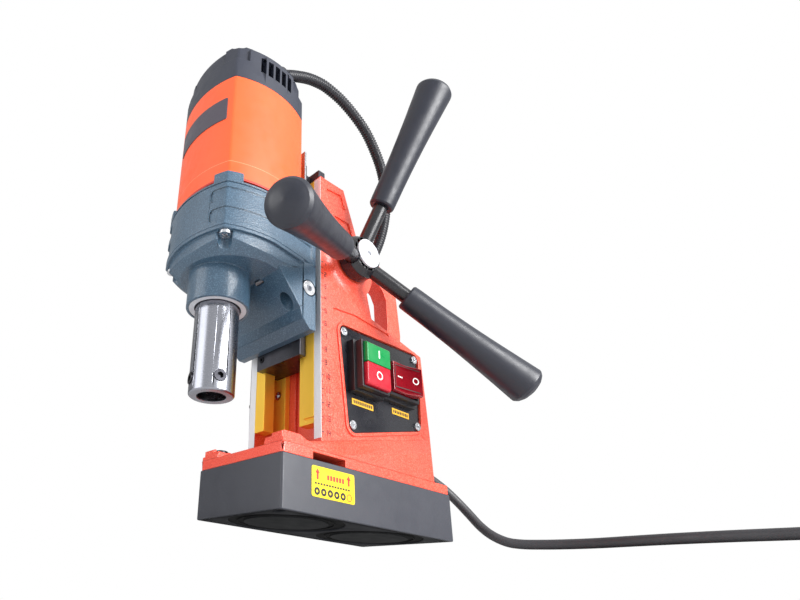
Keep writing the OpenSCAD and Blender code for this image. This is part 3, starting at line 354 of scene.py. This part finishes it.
# The floor is clear from below and open under the magnet, because the camera is below it.
FLOOR_Z, FLOOR_HALF, HOLE_HALF = -0.0006, (3.0, 3.0), (0.038, 0.079)
CORNERS = ((-1, -1), (1, -1), (1, 1), (-1, 1))
floor = mesh_object(
    "floor", [(a * half[0], b * half[1], FLOOR_Z) for half in (FLOOR_HALF, HOLE_HALF) for a, b in CORNERS],
    [(0, 1, 5, 4), (1, 2, 6, 5), (2, 3, 7, 6), (3, 0, 4, 7)])
floor_look = Shade("floor_look", rgb(226, 226, 226), 0.7).mottle(3, 0.01)
clear = floor_look.new("ShaderNodeBsdfTransparent")
pick = floor_look.new("ShaderNodeMixShader")
floor_look.link(floor_look.new("ShaderNodeNewGeometry").outputs["Backfacing"], pick.inputs["Fac"])
floor_look.link(floor_look.b.outputs["BSDF"], pick.inputs[1])
floor_look.link(clear.outputs["BSDF"], pick.inputs[2])
floor_look.link(pick.outputs["Shader"], floor_look.t.nodes["Material Output"].inputs["Surface"])
floor.data.materials.append(floor_look.m)

# A white backdrop, with light that is stronger from above and from the right.
BRIGHT_SIDE = (0.62, -0.12, 0.77)
world = bpy.data.worlds.new("studio")
world.use_nodes = True
sky = world.node_tree
dull = sky.nodes["Background"]
dull.inputs["Color"].default_value = (1, 1, 1, 1)
plain = sky.nodes.new("ShaderNodeBackground")
plain.inputs["Color"].default_value = (1, 1, 1, 1)
side = sky.nodes.new("ShaderNodeVectorMath")
side.operation = "DOT_PRODUCT"
side.inputs[1].default_value = BRIGHT_SIDE
sky.links.new(sky.nodes.new("ShaderNodeTexCoord").outputs["Generated"], side.inputs[0])
spread = sky.nodes.new("ShaderNodeMapRange")
for k, v in (("From Min", -0.75), ("From Max", 0.95), ("To Min", 0.10), ("To Max", 1.05)):
    spread.inputs[k].default_value = v
sky.links.new(side.outputs["Value"], spread.inputs["Value"])
sky.links.new(spread.outputs["Result"], dull.inputs["Strength"])
choose = sky.nodes.new("ShaderNodeMixShader")
sky.links.new(sky.nodes.new("ShaderNodeLightPath").outputs["Is Camera Ray"], choose.inputs["Fac"])
sky.links.new(dull.outputs["Background"], choose.inputs[1])
sky.links.new(plain.outputs["Background"], choose.inputs[2])
sky.links.new(choose.outputs["Shader"], sky.nodes["World Output"].inputs["Surface"])
bpy.context.scene.world = world
bpy.context.scene.view_settings.view_transform = "Standard"


def area_light(name, place, target, size, watts):
    data = bpy.data.lights.new(name, "AREA")
    data.shape, data.size, data.energy = "SQUARE", size, watts
    lamp = bpy.data.objects.new(name, data)
    bpy.context.scene.collection.objects.link(lamp)
    lamp.location = place
    lamp.rotation_mode = "QUATERNION"
    lamp.rotation_quaternion = (Vector(target) - Vector(place)).to_track_quat("-Z", "Y")


area_light("right_softbox", (1.3, 0.25, 0.55), (0, -0.02, 0.17), 0.8, 34)
area_light("front_softbox", (-0.35, -1.3, 0.5), (0, -0.05, 0.18), 0.9, 7)

# ---------- Cords ----------
CORD_D, HOSE_D = 7 * MM, 9 * MM
CORD_ROUTE = [
    (12, 92, 54), (12.2, 98, 53.6), (13.4, 106, 51), (17, 117, 44.2), (22, 124.5, 35.6), (28, 129, 26.4),
    (34.5, 131.2, 17.6), (42, 133.2, 10.6), (51, 136.8, 5.6), (60, 141, 3.9), (72, 146, 3.6),
    (88, 150.5, 3.6), (108, 152, 3.6), (130, 150, 3.6), (155, 148, 3.6), (182, 148, 3.6), (209, 150, 3.6),
    (237, 151.5, 3.6), (263, 152, 3.6),
]
PLUG_ROUTE = [
    (342.4, 97.4, 10.5), (342.5, 90, 9.8), (342.4, 82, 8.1), (342.1, 74, 6.3), (341.7, 66, 5.7),
    (341.2, 58, 6.4), (340.7, 50, 8.4), (340.3, 42, 11), (340.1, 34, 13.1), (340, 26.1, 14),
]
COIL_AT, COIL_IN, COIL_OUT, PITCH = (292, 100), 29.5, 50.5, 7.0
TURNS, TURN_STEPS, COIL_FROM, STEP_UP_ANGLE = 3, 24, 97, 100  # turns in a layer; angles in degrees
LOW_LAYER, HIGH_LAYER = 3.6, 10.6
HOSE_ROUTE = [
    (33, -84, 338), (33.8, -77.5, 342.7), (35, -68, 347.8), (36.2, -58, 352), (37.3, -48.5, 354),
    (38.5, -39, 353.8), (40, -23, 349.6), (41, -7, 341.2), (42, 5, 330.5), (42, 15, 317.5), (41.7, 23, 303),
    (40.5, 28.5, 288), (38.5, 31.5, 273), (35.5, 32.5, 258), (32, 32, 244), (28, 29.5, 230), (24.7, 24, 217),
    (23, 16, 208), (22, 8, 202.5),
]


def smooth_route(points, steps):
    """A Catmull-Rom curve through the points."""
    pts = [Vector(p) for p in points]
    pts = [pts[0] * 2 - pts[1]] + pts + [pts[-1] * 2 - pts[-2]]
    out = []
    for i in range(1, len(pts) - 2):
        a, b, c, d = pts[i - 1:i + 3]
        for k in range(steps):
            t = k / steps
            out.append(0.5 * ((2 * b) + (c - a) * t + (2 * a - 5 * b + 4 * c - d) * t * t
                              + (3 * b - a - 3 * c + d) * t ** 3))
    return out + [pts[-2]]


def around_coil(angle, r, z, across=0.0):
    """A point at an angle in radians and a radius round the coil, and a distance across that radius."""
    return (COIL_AT[0] + r * math.cos(angle) - across * math.sin(angle),
            COIL_AT[1] + r * math.sin(angle) + across * math.cos(angle), z)


def coil_points():
    """Two layers of turns: inwards on the floor, up, and outwards on top."""
    layer, step, out = range(TURNS * TURN_STEPS + 1), 360 / TURN_STEPS, []
    for k in layer:
        out.append((COIL_FROM - step * k, COIL_OUT - PITCH * k / TURN_STEPS, LOW_LAYER))
    start = COIL_FROM - 360 * TURNS
    for k in range(1, 7):
        t = k / 7
        out.append((start - STEP_UP_ANGLE * t, COIL_IN - 0.4 * math.sin(math.pi * t),
                    LOW_LAYER + (HIGH_LAYER - LOW_LAYER) * t * t * (3 - 2 * t)))
    for k in layer:
        out.append((start - STEP_UP_ANGLE - step * k, COIL_IN + PITCH * k / TURN_STEPS, HIGH_LAYER))
    return [around_coil(math.radians(a), r, z) for a, r, z in out]


def curve_object(name, points, diameter, look, sides=6):
    data = bpy.data.curves.new(name, "CURVE")
    data.dimensions, data.bevel_depth, data.bevel_resolution = "3D", diameter / 2, sides
    data.use_fill_caps = True
    line = data.splines.new("POLY")
    line.points.add(len(points) - 1)
    for p, q in zip(line.points, points):
        p.co = (*[c * MM for c in q], 1)
    line.use_smooth = True
    obj = bpy.data.objects.new(name, data)
    bpy.context.scene.collection.objects.link(obj)
    data.materials.append(M[look].m)
    return obj


def ring_tube(name, points, radii, sides, look):
    """A closed tube of rings round a line of points, one radius each."""
    pts = [Vector(p) for p in points]
    side, verts, faces = None, [], []
    for i, p in enumerate(pts):
        t = (pts[min(i + 1, len(pts) - 1)] - pts[max(i - 1, 0)]).normalized()
        side = (t.cross(Vector((0, 0, 1))) if side is None else side - t * side.dot(t)).normalized()
        other = t.cross(side)
        for k in range(sides):
            a = 2 * math.pi * k / sides
            verts.append((p + (side * math.cos(a) + other * math.sin(a)) * radii[i]) * MM)
    n = len(pts)
    for i in range(n - 1):
        for k in range(sides):
            j = (k + 1) % sides
            faces.append((i * sides + k, i * sides + j, (i + 1) * sides + j, (i + 1) * sides + k))
    faces.append(tuple(reversed(range(sides))))
    faces.append(tuple(range((n - 1) * sides, n * sides)))
    obj = mesh_object(name, verts, faces, look)
    obj.data.polygons.foreach_set("use_smooth", [True] * len(obj.data.polygons))
    return obj


def evenly(points, gap):
    """Points along a line, about gap apart."""
    pts = [Vector(p) for p in points]
    lengths = [0]
    for a, b in zip(pts, pts[1:]):
        lengths.append(lengths[-1] + (b - a).length)
    n = round(lengths[-1] / gap)
    out, i = [], 0
    for k in range(n + 1):
        s = lengths[-1] * k / n
        while i < len(pts) - 2 and lengths[i + 1] < s:
            i += 1
        f = (s - lengths[i]) / max(lengths[i + 1] - lengths[i], 1e-9)
        out.append(pts[i].lerp(pts[i + 1], min(f, 1)))
    return out, lengths[-1]


to_coil = smooth_route(CORD_ROUTE + coil_points()[:2], 4)[:-4]
lead_points = to_coil + smooth_route(coil_points(), 2) + smooth_route(PLUG_ROUTE, 4)[1:]
lead = curve_object("supply_lead", lead_points, CORD_D, "rubber")
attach(lead, "base")
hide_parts("power_cord", "cord_coil")

hose_line, hose_length = evenly(smooth_route(HOSE_ROUTE, 12), 0.55)
RIB = (4.5, 4.35, 3.75, 3.9)  # radius through one corrugation
hose = ring_tube("corrugated_hose", hose_line, [RIB[i % 4] for i in range(len(hose_line))], 20, "hose")

# The tie round the coil: a band along a rounded rectangle, given as radius and height.
TIE_AT, TIE_W, TIE_T, TIE_R = math.radians(205), 5.0, 0.6, 1.6
TIE_CORNERS = ((26.8, 2.5, math.pi), (53.2, 2.5, 1.5 * math.pi), (53.2, 13.2, 0), (26.8, 13.2, 0.5 * math.pi))
tie_line = [(r + TIE_R * math.cos(start + a), z + TIE_R * math.sin(start + a))
            for r, z, start in TIE_CORNERS for a in (0, 0.8, 1.57)]
tie_points, tie_faces = [], []
for r, z in tie_line:
    for grow in (0, TIE_T):
        rr = r + (grow if r > 40 else -grow)
        zz = z + (grow if z > 7 else -grow * 0.5)
        tie_points += [around_coil(TIE_AT, rr, zz, w) for w in (-TIE_W / 2, TIE_W / 2)]
for i in range(len(tie_line)):
    a, b = 4 * i, 4 * ((i + 1) % len(tie_line))
    tie_faces += [(a, b, b + 1, a + 1), (a + 3, b + 3, b + 2, a + 2), (a, a + 2, b + 2, b),
                  (a + 1, b + 1, b + 3, a + 3)]
tie_verts = [[c * MM for c in p] for p in tie_points]
tie = mesh_object("coil_tie", tie_verts, tie_faces, "switch")
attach(tie, "base")

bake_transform(hose)
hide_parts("hose")

# ---------- Marks ----------
# How far out along X each ink lies, just proud of its face, in millimetres.
COLUMN_INK, PLATE_INK, LABEL_INK, START_INK, STOP_INK = 37.04, 37.14, 42.36, 51.94, 51.64
INK_T = 0.06


def flat_shape(name, body, look, shapes, place):
    """Thin ink shapes; place turns a shape's (a, b) in millimetres into a point."""
    verts, faces = [], []
    for shape in shapes:
        base = len(verts)
        verts += [Vector(place(a, b)) * MM for a, b in shape]
        n = len(shape) // 2
        if len(shape) > 8:  # an outline followed by its inner outline
            faces += [(base + k, base + (k + 1) % n, base + n + (k + 1) % n, base + n + k) for k in range(n)]
        else:
            faces.append(tuple(range(base, base + len(shape))))
    obj = mesh_object(name, verts, faces, look)
    shell = obj.modifiers.new("ink", "SOLIDIFY")
    shell.thickness, shell.offset = INK_T * MM, 0
    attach(obj, body)
    return obj


def bar_shape(a0, b0, a1, b1):
    return [(a0, b0), (a1, b0), (a1, b1), (a0, b1)]


def ring_shape(a, b, outer_r, inner_r, n=28):
    turn = [2 * math.pi * k / n for k in range(n)]
    return [(a + r * math.cos(t), b + r * math.sin(t)) for r in (outer_r, inner_r) for t in turn]


def on_side(x):
    return lambda y, z: (x, y, z)


# Depth scale: numbered ticks with a short one between them. The figures are drawn with seven bars.
SCALE_TOP, TICKS, TICK_GAP, SCALE_EDGE = 181, 14, 9.77, -44.9
FIGURE_W, FIGURE_H, FIGURE_GAP, STROKE = 1.5, 3.2, 2.8, 0.3
BARS = {"t": (0, 1, 1, 1), "m": (0, 0.5, 1, 0.5), "b": (0, 0, 1, 0), "l": (0, 0, 0, 0.5), "y": (0, 0.5, 0, 1),
        "i": (1, 0, 1, 0.5), "r": (1, 0.5, 1, 1)}
FIGURES = {"0": "tbylir", "1": "ir", "2": "trmlb", "3": "trmib", "4": "yrmi", "5": "tymib", "6": "tymlib",
           "7": "tri", "8": "tbymlir", "9": "tbymir"}


def figure(digit, left, low):
    """The bars of one figure, from its lower left corner."""
    shapes = []
    for bar in FIGURES[digit]:
        x0, y0, x1, y1 = BARS[bar]
        shapes.append(bar_shape(left + FIGURE_W * x0 - STROKE, low + FIGURE_H * y0 - STROKE,
                                left + FIGURE_W * x1 + STROKE, low + FIGURE_H * y1 + STROKE))
    return shapes


scale_shapes = []
for k in range(TICKS):
    z = SCALE_TOP - TICK_GAP * k
    scale_shapes.append(bar_shape(SCALE_EDGE, z - 0.35, SCALE_EDGE + 2.2, z + 0.35))
    if k:
        scale_shapes.append(bar_shape(SCALE_EDGE, z + 4.6, SCALE_EDGE + 1.3, z + 5.2))
    for c, digit in enumerate(str(k + 1)):
        scale_shapes += figure(digit, SCALE_EDGE + 3.3 + FIGURE_GAP * c, z - FIGURE_H / 2)
flat_shape("depth_scale", "base", "ink", scale_shapes, on_side(COLUMN_INK))

# Labels: arrows, bars and round pictogram blanks only.
def arrow(a, b):
    return [[(a - 0.8, b), (a + 0.8, b), (a + 0.8, b + 4), (a - 0.8, b + 4)],
            [(a - 2, b + 3.8), (a + 2, b + 3.8), (a, b + 6.6)]]


def row_of_bars(count, step, a0, b0, a1, b1):
    """Equal bars side by side, step apart."""
    return [bar_shape(a0 + step * k, b0, a1 + step * k, b1) for k in range(count)]


flat_shape("label_red_marks", "base", "alarm",
           arrow(-54.2, 21.2) + arrow(-27, 21.2) + row_of_bars(6, 2.6, -46, 22, -44.2, 25)
           + [ring_shape(-26.6, 14.1, 2.3, 1.8)], on_side(LABEL_INK))
flat_shape("label_dark_marks", "base", "ink",
           [ring_shape(-54.6 + 5.6 * k, 14.1, 2.3, 0.9) for k in range(5)]
           + row_of_bars(13, 2.4, -56.5, 18.2, -54.9, 19.3), on_side(LABEL_INK))
flat_shape("tag_marks", "base", "ink",
           row_of_bars(10, 2.0, -14.4, 80.9, -13.1, 83.2) + row_of_bars(9, 1.9, 28.2, 84.5, 29.4, 86.7),
           on_side(PLATE_INK))

# Symbols on the buttons and the rocker.
flat_shape("start_mark", "start_button", "mark", [bar_shape(-4.0, 112.6, -2.8, 118.4)],
           on_side(START_INK))
flat_shape("stop_mark", "stop_button", "mark", [ring_shape(-3.4, 99.8, 3.1, 2.2)],
           on_side(STOP_INK))

# The rocker's pivot and tilt, and its face: how far out it is in the middle and how much more at its ends.
ROCKER_X, ROCKER_Y, ROCKER_TILT = 42, 31.3, math.radians(-8)
FACE_MIDDLE, FACE_RISE, FACE_HALF, INK_LIFT = 6.4, 2.1, 14.2, 0.08


def on_rocker(y, z):
    """A point just off the rocker's face, at y along it from its middle."""
    x = FACE_MIDDLE + FACE_RISE * abs(y) / FACE_HALF + INK_LIFT
    return (ROCKER_X + x * math.cos(ROCKER_TILT) - y * math.sin(ROCKER_TILT),
            ROCKER_Y + x * math.sin(ROCKER_TILT) + y * math.cos(ROCKER_TILT), z)


flat_shape("rocker_marks", "rocker", "mark",
           [bar_shape(-9.6, 107.1, -4.6, 108.0), ring_shape(8.2, 107.6, 2.7, 1.9)], on_rocker)
flat_shape("rocker_frame", "rocker", "ink",
           [bar_shape(-12.6, 98.6, -12.0, 116.2), bar_shape(-12.6, 98.6, 12.2, 99.2),
            bar_shape(-12.6, 115.6, 12.2, 116.2)], on_rocker)
